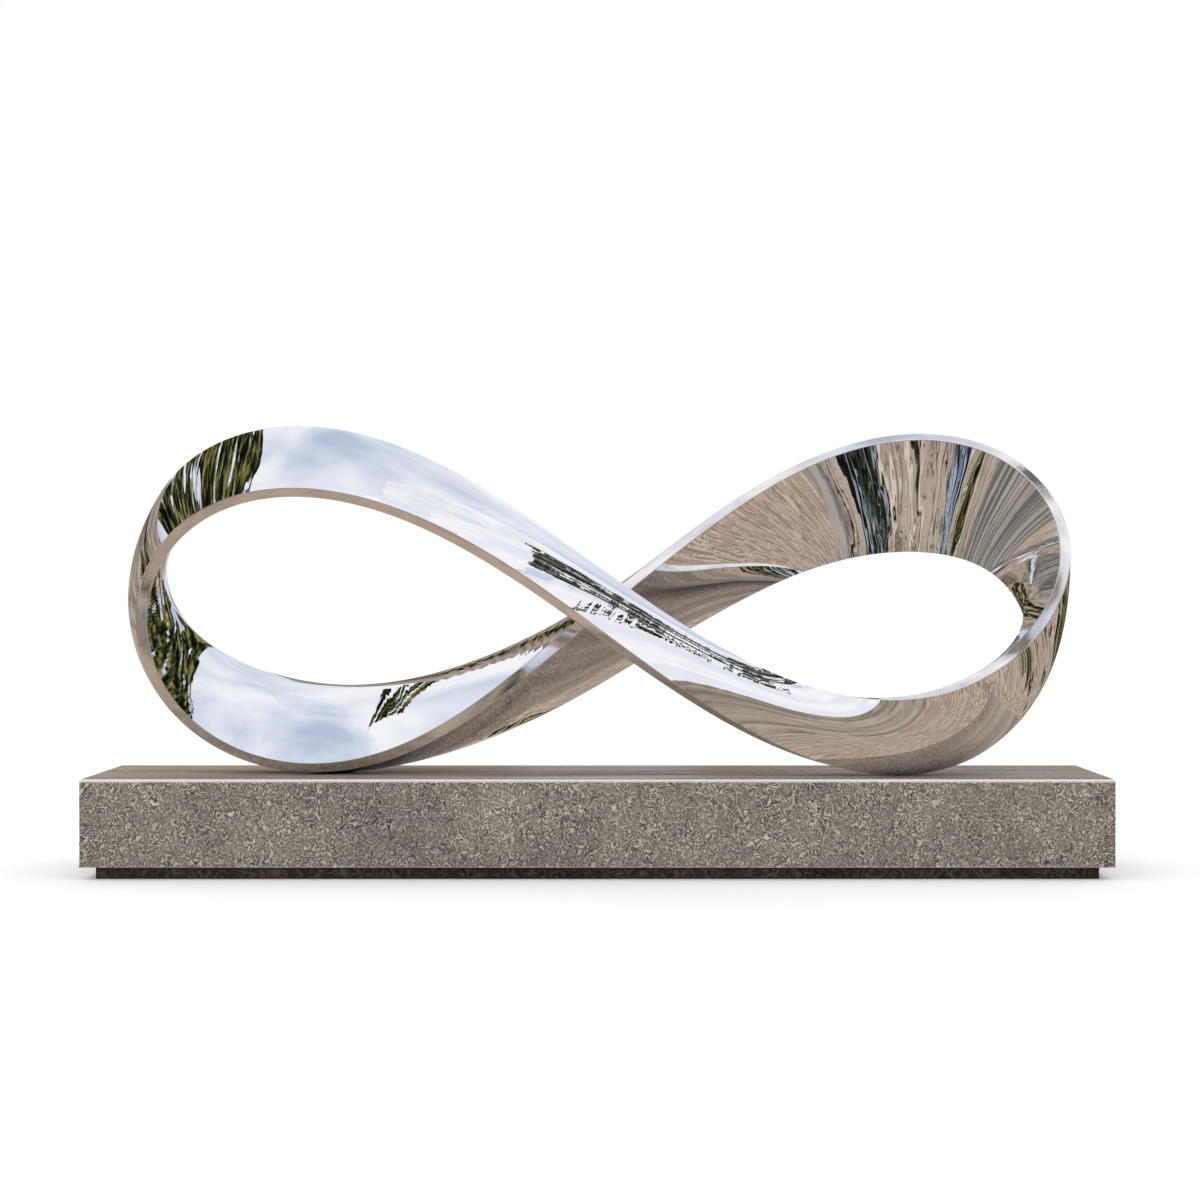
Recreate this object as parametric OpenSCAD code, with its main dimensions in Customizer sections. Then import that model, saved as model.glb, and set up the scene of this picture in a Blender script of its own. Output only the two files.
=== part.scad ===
// Polished steel band bent into a lying figure of eight, resting on a long low stone plinth.
// The band is hollow: face sheets and edge strips are welded round ribs, in eight lengths.
// It makes a half turn over its whole run, so its two narrow edges are one.
// Millimetres, +Z up, front towards -Y, origin on the ground under the plinth's centre.

/* [Plinth] */
// Length of the stone block
block_length = 3000; // [2700:10:3600]
// Depth of the stone block, front to back
block_depth = 600; // [560:10:760]
// Height of the stone block
block_height = 255; // [240:5:340]
// Width of the honed bevel round the block's top
block_bevel = 6; // [3:1:12]
// Height of the recessed base stone
base_height = 34; // [28:1:60]
// How far the base stone stands back from the block's faces
base_inset = 40; // [20:5:80]
// Thickness of the bedding pads between the block and the base stone
pad_thickness = 3; // [2:1:6]
// Side of a square bedding pad
pad_side = 100; // [60:10:140]
// Bedding pads along the length, in each of two rows
pad_count = 5; // [3:1:8]

/* [Band] */
// Half length of the band's centre line
band_reach = 1260; // [1100:10:1290]
// Half height of the band's centre line
band_rise = 370; // [320:5:450]
// Distance that the centre line swings to the front and back
band_spread = 186; // [170:2:200]
// Mean width of the band
band_width = 333; // [300:1:360]
// Width of the flat edge of the band
edge_width = 33; // [28:1:44]
// Mean height of the crown on each wide face
face_crown = 54; // [40:1:60]
// Thickness of the face sheets and edge strips
sheet_thickness = 4; // [3:0.5:5]
// Thickness of a rib
rib_thickness = 6; // [4:1:10]

/* [Anchors] */
// Diameter of the spigot that holds the band down at each seat
spigot_d = 40; // [30:2:50]
// Length of a spigot
spigot_length = 180; // [120:5:200]
// Wall of the sleeve that a spigot stands in
sleeve_wall = 8; // [5:1:12]
// Radial clearance of a spigot in its sleeve
spigot_clearance = 0.3; // [0.2:0.1:0.6]
// Depth of the grout pad under each spigot
grout_depth = 20; // [10:1:40]
// Diameter of the dowels between the block and the base stone
dowel_d = 20; // [16:1:30]
// Length of a dowel inside the block
dowel_rise = 60; // [40:5:90]
// Length of a dowel inside the base stone
dowel_drop = 20; // [12:1:24]
// Distance of a dowel from the end of the block
dowel_from_end = 260; // [200:10:400]

/* [Hidden] */
// The band's centre line and section are sums of waves round the figure of eight.
// A row is: waves in one lap, cosine part, sine part.
along_shares = [[1, -0.135, 1], [2, -0.018, 0.07], [3, -0.009, -0.058], [4, 0.008, 0]];
rise_shares = [[1, 0.139, 0.06], [2, 0.122, -1], [3, 0.089, -0.128], [4, 0.041, 0.033]];
spread_shares = [[1, -1, 0.2], [2, -0.085, -0.147], [3, 0.042, -0.027]];
width_shares = [[0, 1, 0], [1, -0.258, 0.013], [2, -0.091, -0.077], [3, 0.048, -0.083]];
crown_shares = [[0, 1, 0], [1, -0.31, -0.149], [2, 0.138, 0.576]];
// How the section turns beyond an even half turn, as shares of a quarter turn
turn_shares = [
    [0, 0.9444, 0], [1, -0.3744, 0.5611], [2, -0.04, -0.3144],
    [3, -0.0856, -0.0622], [4, 0, 0.04], [5, 0, -0.02]
];
// Place of the centre line's middle along the plinth, as a share of its half length
along_offset_share = -0.01;

// Rings of points in one length of the band, and strips across one face
ring_steps = 12;
face_steps = 8;
part_count = 8;
part_angle = 360 / part_count;
ring_angle = part_angle / ring_steps;
// Gap left by a seam between a sheet and an edge strip or rib
seam_gap = 0.3;
// Rings at which the ribs of a length start
rib_rings = [0, ring_steps / 2];

// Middle angle of each length, on the way round from the front crossing
front_strand_at = 0;
right_bottom_at = 45;
right_end_at = 90;
right_top_at = 135;
back_strand_at = 180;
left_bottom_at = -135;
left_end_at = -90;
left_top_at = -45;

plinth_top = base_height + pad_thickness + block_height;
sleeve_d = spigot_d + 2 * (spigot_clearance + sleeve_wall);
sleeve_length = spigot_length + grout_depth;
fit_gap = 0.3;
overrun = 1;
$fn = 48;

// Sum of a table of waves at an angle, and its slope
function ones(list) = [for (item = list) 1];
function waves_at(rows, a) = [for (r = rows) r[1] * cos(r[0] * a) + r[2] * sin(r[0] * a)] * ones(rows);
function slope_at(rows, a) = [for (r = rows) r[0] * (r[2] * cos(r[0] * a) - r[1] * sin(r[0] * a))] * ones(rows);
function unit(v) = v / norm(v);

// Centre line of the band before it is lifted on to the plinth
function centre_at(a) = [
    band_reach * (along_offset_share + waves_at(along_shares, a)),
    band_spread * waves_at(spread_shares, a),
    band_rise * waves_at(rise_shares, a)
];
function heading_at(a) = unit([
    band_reach * slope_at(along_shares, a),
    band_spread * slope_at(spread_shares, a),
    band_rise * slope_at(rise_shares, a)
]);

// Direction across the band and out of its first face
function level_across(t) = unit([0, 1, 0] - t * t[1]);
function across_from(t, e, turn) = cos(turn) * e + sin(turn) * cross(t, e);
function turn_at(a) = a / 2 + 90 * waves_at(turn_shares, a);
function across_at(a) = across_from(heading_at(a), level_across(heading_at(a)), turn_at(a));

function half_width_at(a) = band_width * waves_at(width_shares, a) / 2;
function crown_at(a) = face_crown * waves_at(crown_shares, a);

// Points of one section: each is a place across the band and a height off its middle
function face_profile(half, crown, inward, side) = [
    for (j = [0:face_steps])
        let (s = -1 + 2 * j / face_steps)
            [s * half, side * (edge_width / 2 + crown * (1 - s * s) - inward)]
];
function sheet_half(a) = half_width_at(a) - sheet_thickness - seam_gap;
function sheet_profile(a, side) = concat(
    face_profile(sheet_half(a), crown_at(a), 0, side),
    [for (j = [face_steps:-1:0]) face_profile(sheet_half(a), crown_at(a), sheet_thickness, side)[j]]
);
function strip_profile(a, side) = [
    [side * half_width_at(a), -edge_width / 2],
    [side * half_width_at(a), edge_width / 2],
    [side * (half_width_at(a) - sheet_thickness), edge_width / 2],
    [side * (half_width_at(a) - sheet_thickness), -edge_width / 2]
];
function rib_face(a, side) = face_profile(sheet_half(a), crown_at(a), sheet_thickness + seam_gap, side);
function rib_profile(a) = concat(rib_face(a, 1), [for (j = [face_steps:-1:0]) rib_face(a, -1)[j]]);

// A section placed on the centre line
function placed(profile, c, w, n) = [for (p = profile) c + p[0] * w + p[1] * n];
function ring_of(profile, a) = placed(profile, centre_at(a), across_at(a), cross(heading_at(a), across_at(a)));

// The band is levelled: the lowest points of its two lobes both touch the plinth
function whole_ring(a) = ring_of(concat(sheet_profile(a, 1), sheet_profile(a, -1), strip_profile(a, 1),
    strip_profile(a, -1)), a);
function ring_low(a) = min([for (p = whole_ring(a)) p[2]]);
function ring_angles(first, last) = [for (i = [first:last]) i * ring_angle];
left_angles = ring_angles(-4 * ring_steps, -2 * ring_steps);
right_angles = ring_angles(0, 2 * ring_steps);
left_lows = [for (a = left_angles) ring_low(a)];
right_lows = [for (a = right_angles) ring_low(a)];
left_seat_angle = left_angles[search(min(left_lows), left_lows)[0]];
right_seat_angle = right_angles[search(min(right_lows), right_lows)[0]];
function seat_point(a) = [for (p = whole_ring(a)) if (p[2] == ring_low(a)) p][0];
left_seat = seat_point(left_seat_angle);
right_seat = seat_point(right_seat_angle);
function lift_at(x) = plinth_top - left_seat[2]
    - (right_seat[2] - left_seat[2]) * (x - left_seat[0]) / (right_seat[0] - left_seat[0]);
// It is also centred between the plinth's front and back
depths = [for (a = ring_angles(-4 * ring_steps, 4 * ring_steps)) for (p = whole_ring(a)) p[1]];
depth_shift = -(min(depths) + max(depths)) / 2;
function lifted(points) = [for (p = points) [p[0], p[1] + depth_shift, p[2] + lift_at(p[0])]];

// A solid from rings of points: side faces, then a cap of narrow quads at each end
function side_faces(n, rings) = [
    for (i = [0:rings - 2])
        for (j = [0:n - 1])
            let (k = (j + 1) % n, low = i * n, high = (i + 1) * n)
                each [[low + j, low + k, high + k], [low + j, high + k, high + j]]
];
function cap_faces(n, start) = [
    for (j = [0:n / 2 - 2])
        let (k = n - 1 - j)
            each [[start + j, start + k, start + k - 1], [start + j, start + k - 1, start + j + 1]]
];
function turned(faces) = [for (f = faces) [f[2], f[1], f[0]]];
function all_faces(n, rings) = concat(side_faces(n, rings), cap_faces(n, 0), turned(cap_faces(n, (rings - 1) * n)));

module swept(rings, flip) {
    n = len(rings[0]);
    faces = all_faces(n, len(rings));
    polyhedron(points = [for (r = rings) each lifted(r)], faces = flip ? turned(faces) : faces, convexity = 4);
}

function length_rings(middle) = [for (i = [0:ring_steps]) middle - part_angle / 2 + i * ring_angle];

// One face sheet of a length of the band, on the side 1 or -1
module face_sheet(middle, side) {
    color([0.86, 0.87, 0.89])
        swept([for (a = length_rings(middle)) ring_of(sheet_profile(a, side), a)], side < 0);
}

// The two edge strips of a length of the band
module edge_strips(middle) {
    color([0.62, 0.6, 0.58])
        for (side = [-1, 1])
            swept([for (a = length_rings(middle)) ring_of(strip_profile(a, side), a)], side < 0);
}

// A rib runs from one ring a rib's thickness towards the next
function mixed(p, q, s) = [for (i = [0:len(p) - 1]) p[i] + (q[i] - p[i]) * s];
function rib_share(a) = rib_thickness / norm(centre_at(a + ring_angle) - centre_at(a));
module ribs(middle) {
    color([0.5, 0.5, 0.52])
        for (i = rib_rings) {
            a = length_rings(middle)[i];
            near = ring_of(rib_profile(a), a);
            next = ring_of(rib_profile(a + ring_angle), a + ring_angle);
            swept([near, mixed(near, next, rib_share(a))], false);
        }
}

// Places of the two spigots, the dowels and the bedding pads
seats = [for (p = [left_seat, right_seat]) [p[0], p[1] + depth_shift]];
dowel_places = [for (side = [-1, 1]) [side * (block_length / 2 - dowel_from_end), 0]];
base_length = block_length - 2 * base_inset;
base_depth = block_depth - 2 * base_inset;
pad_pitch = (base_length - 2 * pad_side) / (pad_count - 1);
pad_row = base_depth / 2 - pad_side;
pad_places = [
    for (i = [0:pad_count - 1])
        for (side = [-1, 1])
            [-base_length / 2 + pad_side + i * pad_pitch, side * pad_row]
];

// Bevels of the block's top, cut by long three-sided bars
module bevel_bar(run) {
    rotate([90, 0, 90])
        linear_extrude(height = run + 2 * overrun, center = true)
            polygon([[-block_bevel, overrun], [overrun, overrun], [overrun, -block_bevel], [0, -block_bevel], [-block_bevel, 0]]);
}

module plinth_block() {
    color([0.52, 0.5, 0.47])
        difference() {
            translate([-block_length / 2, -block_depth / 2, plinth_top - block_height])
                cube([block_length, block_depth, block_height]);
            for (turn = [0, 180])
                rotate([0, 0, turn])
                    translate([0, block_depth / 2, plinth_top])
                        bevel_bar(block_length);
            for (turn = [90, 270])
                rotate([0, 0, turn])
                    translate([0, block_length / 2, plinth_top])
                        bevel_bar(block_depth);
            for (p = seats)
                translate([p[0], p[1], plinth_top - sleeve_length])
                    cylinder(d = sleeve_d + 2 * fit_gap, h = sleeve_length + overrun);
            for (p = dowel_places)
                translate([p[0], p[1], plinth_top - block_height - overrun])
                    cylinder(d = dowel_d + 2 * fit_gap, h = dowel_rise + fit_gap + overrun);
        }
}

module base_stone() {
    color([0.27, 0.26, 0.24])
        difference() {
            translate([-base_length / 2, -base_depth / 2, 0])
                cube([base_length, base_depth, base_height]);
            for (p = dowel_places)
                translate([p[0], p[1], base_height - dowel_drop])
                    cylinder(d = dowel_d + 2 * fit_gap, h = dowel_drop + overrun);
        }
}

module bedding_pads() {
    color([0.2, 0.2, 0.2])
        for (p = pad_places)
            translate([p[0] - pad_side / 2, p[1] - pad_side / 2, base_height])
                cube([pad_side, pad_side, pad_thickness]);
}

module dowels() {
    color([0.7, 0.7, 0.72])
        for (p = dowel_places)
            translate([p[0], p[1], base_height - dowel_drop])
                cylinder(d = dowel_d, h = dowel_drop + pad_thickness + dowel_rise);
}

module spigots() {
    color([0.75, 0.75, 0.77])
        for (p = seats)
            translate([p[0], p[1], plinth_top - spigot_length])
                cylinder(d = spigot_d, h = spigot_length);
}

module spigot_sleeves() {
    color([0.6, 0.6, 0.62])
        for (p = seats)
            translate([p[0], p[1], plinth_top - sleeve_length])
                difference() {
                    cylinder(d = sleeve_d, h = sleeve_length);
                    translate([0, 0, -overrun])
                        cylinder(d = spigot_d + 2 * spigot_clearance, h = sleeve_length + 2 * overrun);
                }
}

module grout_plugs() {
    color([0.7, 0.69, 0.66])
        for (p = seats)
            translate([p[0], p[1], plinth_top - sleeve_length])
                cylinder(d = spigot_d, h = grout_depth);
}

plinth_block();
base_stone();
bedding_pads();
dowels();
spigots();
spigot_sleeves();
grout_plugs();
face_sheet(front_strand_at, 1);  // front_strand_front_sheet
face_sheet(front_strand_at, -1);  // front_strand_back_sheet
edge_strips(front_strand_at);  // front_strand_edge_strips
ribs(front_strand_at);  // front_strand_ribs
face_sheet(right_bottom_at, 1);  // right_bottom_outer_sheet
face_sheet(right_bottom_at, -1);  // right_bottom_inner_sheet
edge_strips(right_bottom_at);  // right_bottom_edge_strips
ribs(right_bottom_at);  // right_bottom_ribs
face_sheet(right_end_at, 1);  // right_end_outer_sheet
face_sheet(right_end_at, -1);  // right_end_inner_sheet
edge_strips(right_end_at);  // right_end_edge_strips
ribs(right_end_at);  // right_end_ribs
face_sheet(right_top_at, 1);  // right_top_outer_sheet
face_sheet(right_top_at, -1);  // right_top_inner_sheet
edge_strips(right_top_at);  // right_top_edge_strips
ribs(right_top_at);  // right_top_ribs
face_sheet(back_strand_at, 1);  // back_strand_back_sheet
face_sheet(back_strand_at, -1);  // back_strand_front_sheet
edge_strips(back_strand_at);  // back_strand_edge_strips
ribs(back_strand_at);  // back_strand_ribs
face_sheet(left_bottom_at, 1);  // left_bottom_outer_sheet
face_sheet(left_bottom_at, -1);  // left_bottom_inner_sheet
edge_strips(left_bottom_at);  // left_bottom_edge_strips
ribs(left_bottom_at);  // left_bottom_ribs
face_sheet(left_end_at, 1);  // left_end_outer_sheet
face_sheet(left_end_at, -1);  // left_end_inner_sheet
edge_strips(left_end_at);  // left_end_edge_strips
ribs(left_end_at);  // left_end_ribs
face_sheet(left_top_at, 1);  // left_top_outer_sheet
face_sheet(left_top_at, -1);  // left_top_inner_sheet
edge_strips(left_top_at);  // left_top_edge_strips
ribs(left_top_at);  // left_top_ribs
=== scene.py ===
import math

import bmesh
import bpy
import numpy as np
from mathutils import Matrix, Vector


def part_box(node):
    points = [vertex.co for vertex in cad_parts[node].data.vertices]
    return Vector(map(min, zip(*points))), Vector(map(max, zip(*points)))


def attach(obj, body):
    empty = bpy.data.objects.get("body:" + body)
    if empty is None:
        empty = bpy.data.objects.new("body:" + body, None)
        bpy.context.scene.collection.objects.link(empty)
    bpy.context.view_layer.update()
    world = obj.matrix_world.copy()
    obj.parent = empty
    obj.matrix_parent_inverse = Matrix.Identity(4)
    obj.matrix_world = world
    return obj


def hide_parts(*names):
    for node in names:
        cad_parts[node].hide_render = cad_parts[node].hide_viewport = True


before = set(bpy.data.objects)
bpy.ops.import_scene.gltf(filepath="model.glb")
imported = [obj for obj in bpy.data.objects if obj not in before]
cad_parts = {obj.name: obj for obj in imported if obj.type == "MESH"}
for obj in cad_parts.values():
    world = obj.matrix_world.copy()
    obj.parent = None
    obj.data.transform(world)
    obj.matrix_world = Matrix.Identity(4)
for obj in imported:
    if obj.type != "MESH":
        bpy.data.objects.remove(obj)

# Polished steel band in a lying figure of eight on a long stone plinth. Metres, front towards -Y.
scene = bpy.context.scene
scene.view_settings.view_transform = "Standard"
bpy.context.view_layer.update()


def colour(red, green, blue):
    # a colour read off the screen, 0 to 255, as linear light
    def linear(value):
        share = value / 255
        return share / 12.92 if share <= 0.04045 else ((share + 0.055) / 1.055) ** 2.4
    return (linear(red), linear(green), linear(blue), 1.0)


cameraSettings = {
    "place": (0.0552, -7.35, 0.8168),
    "lens": 73.14,
    "sensor": 36.0,
    "shift": (-0.01375, -0.00167),
    "clip": (0.1, 300.0),
}


def makeCamera(s):
    data = bpy.data.cameras.new("camera")
    data.lens, data.sensor_width = s["lens"], s["sensor"]
    data.shift_x, data.shift_y = s["shift"]
    data.clip_start, data.clip_end = s["clip"]
    camera = bpy.data.objects.new("camera", data)
    scene.collection.objects.link(camera)
    camera.location = s["place"]
    camera.rotation_euler = (math.radians(90), 0, 0)
    scene.camera = camera


makeCamera(cameraSettings)
print("camera ready")


class Tree:
    # adds nodes to a shader or geometry tree and links them
    def __init__(self, tree):
        self.tree = tree

    def add(self, kind, inputs=None, **settings):
        node = self.tree.nodes.new(kind)
        for key, value in settings.items():
            setattr(node, key, value)
        for key, value in (inputs or {}).items():
            self.put(node.inputs[key], value)
        return node

    def put(self, socket, value):
        if isinstance(value, bpy.types.NodeSocket):
            self.tree.links.new(value, socket)
        elif isinstance(value, bpy.types.Node):
            self.tree.links.new(value.outputs[0], socket)
        else:
            socket.default_value = value

    def math(self, operation, first, second=0.0, third=0.0):
        return self.add("ShaderNodeMath", {0: first, 1: second, 2: third}, operation=operation).outputs[0]

    def vector(self, operation, first, second=(0, 0, 0), scale=None):
        node = self.add("ShaderNodeVectorMath", {0: first, 1: second}, operation=operation)
        if scale is not None:
            self.put(node.inputs["Scale"], scale)
        return node.outputs["Value"] if operation in ("LENGTH", "DOT_PRODUCT") else node.outputs[0]

    def ramp(self, factor, stops):
        node = self.add("ShaderNodeValToRGB", {0: factor})
        elements = node.color_ramp.elements
        while len(elements) < len(stops):
            elements.new(0.5)
        for element, (place, value) in zip(elements, stops):
            element.position, element.color = place, value
        return node.outputs[0]

    def mix(self, factor, first, second):
        node = self.add("ShaderNodeMix", {0: factor}, data_type="RGBA")
        self.put(node.inputs[6], first)
        self.put(node.inputs[7], second)
        return node.outputs[2]

    def rescale(self, value, start, end, low, high):
        return self.add("ShaderNodeMapRange", {0: value, 1: start, 2: end, 3: low, 4: high}).outputs[0]

    def bump(self, distance, height):
        inputs = {"Strength": 1.0, "Distance": distance, "Height": height}
        return self.add("ShaderNodeBump", inputs).outputs[0]

    def window(self, value, start, end):
        # 0 before start and 1 after end, smooth between; start may be above end
        node = self.add("ShaderNodeMapRange", {0: value, 1: start, 2: end, 3: 0.0, 4: 1.0})
        node.interpolation_type = "SMOOTHSTEP"
        return node.outputs[0]

    def noise(self, place, scale, detail=3.0, roughness=0.5, distortion=0.0):
        node = self.add("ShaderNodeTexNoise", {"Vector": place, "Scale": scale, "Detail": detail,
                                               "Roughness": roughness, "Distortion": distortion})
        return node.outputs[0]

    def store(self, geometry, name, value, kind):
        inputs = {"Geometry": geometry, "Name": name, "Value": value}
        return self.add("GeometryNodeStoreNamedAttribute", inputs, data_type=kind, domain="POINT")

    def directRays(self):
        # 1 for what the camera sees straight, in a mirror or through glass
        rays = self.add("ShaderNodeLightPath").outputs
        return self.math("MAXIMUM", rays["Is Camera Ray"],
                         self.math("MAXIMUM", rays["Is Glossy Ray"], rays["Is Transmission Ray"]))


def newMaterial(name):
    material = bpy.data.materials.new(name)
    material.use_nodes = True
    material.node_tree.nodes.clear()
    tree = Tree(material.node_tree)
    shader = tree.add("ShaderNodeBsdfPrincipled")
    tree.add("ShaderNodeOutputMaterial", {0: shader.outputs[0]})
    return material, tree, shader


def newGroup(name, inputs, outputs, kind="ShaderNodeTree"):
    group = bpy.data.node_groups.new(name, kind)
    for socketName, socketType, value in inputs:
        socket = group.interface.new_socket(socketName, in_out="INPUT", socket_type=socketType)
        if value is not None:
            socket.default_value = value
    for socketName, socketType in outputs:
        group.interface.new_socket(socketName, in_out="OUTPUT", socket_type=socketType)
    tree = Tree(group)
    return group, tree, tree.add("NodeGroupInput"), tree.add("NodeGroupOutput")


def useGroup(tree, group, values):
    node = tree.add("ShaderNodeGroup")
    node.node_tree = group
    for key, value in values.items():
        tree.put(node.inputs[key], value)
    return node


# centre line, section and turn of the band are waves round the figure of eight
band = {
    "reach": 1.26,
    "rise": 0.3694,  # a little under the CAD's, so that the finer curve stays inside its box
    "spread": 0.186,
    "width": 0.333,
    "edge": 0.033,
    "crown": 0.054,
    "sheet": 0.004,
    "arris": 0.0035,
    "plinthTop": 0.292,
    "alongOffset": -0.01,
    "along": ((1, -0.135, 1), (2, -0.018, 0.07), (3, -0.009, -0.058), (4, 0.008, 0)),
    "up": ((1, 0.139, 0.06), (2, 0.122, -1), (3, 0.089, -0.128), (4, 0.041, 0.033)),
    "back": ((1, -1, 0.2), (2, -0.085, -0.147), (3, 0.042, -0.027)),
    "widths": ((0, 1, 0), (1, -0.258, 0.013), (2, -0.091, -0.077), (3, 0.048, -0.083)),
    "crowns": ((0, 1, 0), (1, -0.31, -0.149), (2, 0.138, 0.576)),
    "turns": ((0, 0.9444, 0), (1, -0.3744, 0.5611), (2, -0.04, -0.3144), (3, -0.0856, -0.0622), (4, 0, 0.04),
              (5, 0, -0.02)),
    "ringsPerLength": 64,
    "strips": 32,
    "edgeStrips": 20,
    "flatness": 0.6,
    # side, middle, reach and peak in degrees, and what it adds to the flatness
    "leans": ((-1, 125.0, 45.0, 42.0, 0.32), (-1, -112.0, 28.0, 26.0, 0.0)),
    "seatRanges": ((-180, -90), (0, 90)),
    "seatStep": 0.25,
    "seatShares": 41,
    "edgeFlatShare": 0.4,
}
lengthAngle = 45.0
# middle angle, the sheet on the outward side and the sheet on the other
lengths = {
    "front_strand": (0, "front_sheet", "back_sheet"),
    "right_bottom": (45, "outer_sheet", "inner_sheet"),
    "right_end": (90, "outer_sheet", "inner_sheet"),
    "right_top": (135, "outer_sheet", "inner_sheet"),
    "back_strand": (180, "back_sheet", "front_sheet"),
    "left_bottom": (-135, "outer_sheet", "inner_sheet"),
    "left_end": (-90, "outer_sheet", "inner_sheet"),
    "left_top": (-45, "outer_sheet", "inner_sheet"),
}


def waves(rows, angle):
    return sum(row[1] * np.cos(row[0] * angle) + row[2] * np.sin(row[0] * angle) for row in rows)


def slopes(rows, angle):
    return sum(row[0] * (row[2] * np.cos(row[0] * angle) - row[1] * np.sin(row[0] * angle)) for row in rows)


def unit(vectors):
    return vectors / np.linalg.norm(vectors, axis=1, keepdims=True)


def bandFrames(b, degrees):
    angle = np.radians(degrees)
    centre = np.stack([b["reach"] * (b["alongOffset"] + waves(b["along"], angle)),
                       b["spread"] * waves(b["back"], angle), b["rise"] * waves(b["up"], angle)], 1)
    heading = unit(np.stack([b["reach"] * slopes(b["along"], angle), b["spread"] * slopes(b["back"], angle),
                             b["rise"] * slopes(b["up"], angle)], 1))
    level = unit(np.array([0.0, 1.0, 0.0]) - heading * heading[:, 1:2])
    turn = np.radians(degrees / 2 + 90 * waves(b["turns"], angle))[:, None]
    across = np.cos(turn) * level + np.sin(turn) * np.cross(heading, level)
    return centre, across, np.cross(heading, across), b["width"] * waves(b["widths"], angle) / 2, \
        b["crown"] * waves(b["crowns"], angle)


def seatBand(b):
    # levels the band so that both lobes touch the plinth, and centres it front to back
    degrees = np.arange(-180, 180, b["seatStep"])
    centre, across, outward, half, crown = bandFrames(b, degrees)
    share = np.linspace(-1, 1, b["seatShares"])
    points = []
    for side in (1, -1):
        offset = b["edge"] / 2 + crown[:, None] * (1 - share ** 2)
        points.append(centre[:, None] + (share * (half[:, None] - b["sheet"]))[..., None] * across[:, None]
                      + side * offset[..., None] * outward[:, None])
        rim = side * b["edge"] / 2 * outward
        for place in (-1, 1):
            points.append((centre + place * half[:, None] * across + rim)[:, None])
    points = np.concatenate(points, 1)
    lows = points[..., 2].min(1)
    seats = []
    for start, end in b["seatRanges"]:
        ring = np.where((degrees >= start) & (degrees <= end), lows, np.inf).argmin()
        seats.append(points[ring, points[ring, :, 2].argmin()])
    slope = -(seats[1][2] - seats[0][2]) / (seats[1][0] - seats[0][0])
    height = b["plinthTop"] - seats[0][2] - slope * seats[0][0]
    shift = -(points[..., 1].min() + points[..., 1].max()) / 2
    return height, slope, shift, [(seat[0], seat[1] + shift, b["plinthTop"]) for seat in seats]


bandHeight, bandSlope, bandShift, bandSeats = seatBand(band)


def pathMesh(b, name, middle, side):
    # the centre line of one length, one ring longer at each end, with the section's sizes on its points
    step = lengthAngle / b["ringsPerLength"]
    degrees = middle + np.arange(-1, b["ringsPerLength"] + 2) * step - lengthAngle / 2
    centre, across, outward, half, crown = bandFrames(b, degrees)
    fine = bandFrames(b, np.arange(-180, degrees[-1] + step / 2, step / 2))[0]
    run = np.concatenate([[0], np.cumsum(np.linalg.norm(np.diff(fine, axis=0), axis=1))])
    distance = np.interp(degrees, np.arange(len(fine)) * step / 2 - 180, run)
    mesh = bpy.data.meshes.new(name)
    mesh.from_pydata([tuple(p) for p in centre], [(i, i + 1) for i in range(len(centre) - 1)], [])
    ghost = np.zeros(len(centre))
    ghost[[0, -1]] = 1
    lean, flat = np.zeros(len(degrees)), np.full(len(degrees), b["flatness"])
    for face, at, reach, peak, gain in b["leans"]:
        if face == side:
            swell = np.exp(-((degrees - at) / reach) ** 2)
            lean, flat = lean + np.radians(peak) * swell, flat + gain * swell
    for key, values in (("across", across), ("outward", outward)):
        mesh.attributes.new(key, "FLOAT_VECTOR", "POINT").data.foreach_set("vector", values.ravel())
    for key, values in (("halfWidth", half), ("crown", crown), ("distance", distance), ("ghost", ghost),
                        ("lean", lean), ("flat", flat)):
        mesh.attributes.new(key, "FLOAT", "POINT").data.foreach_set("value", values)
    path = bpy.data.objects.new(name, mesh)
    scene.collection.objects.link(path)
    return path


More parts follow.
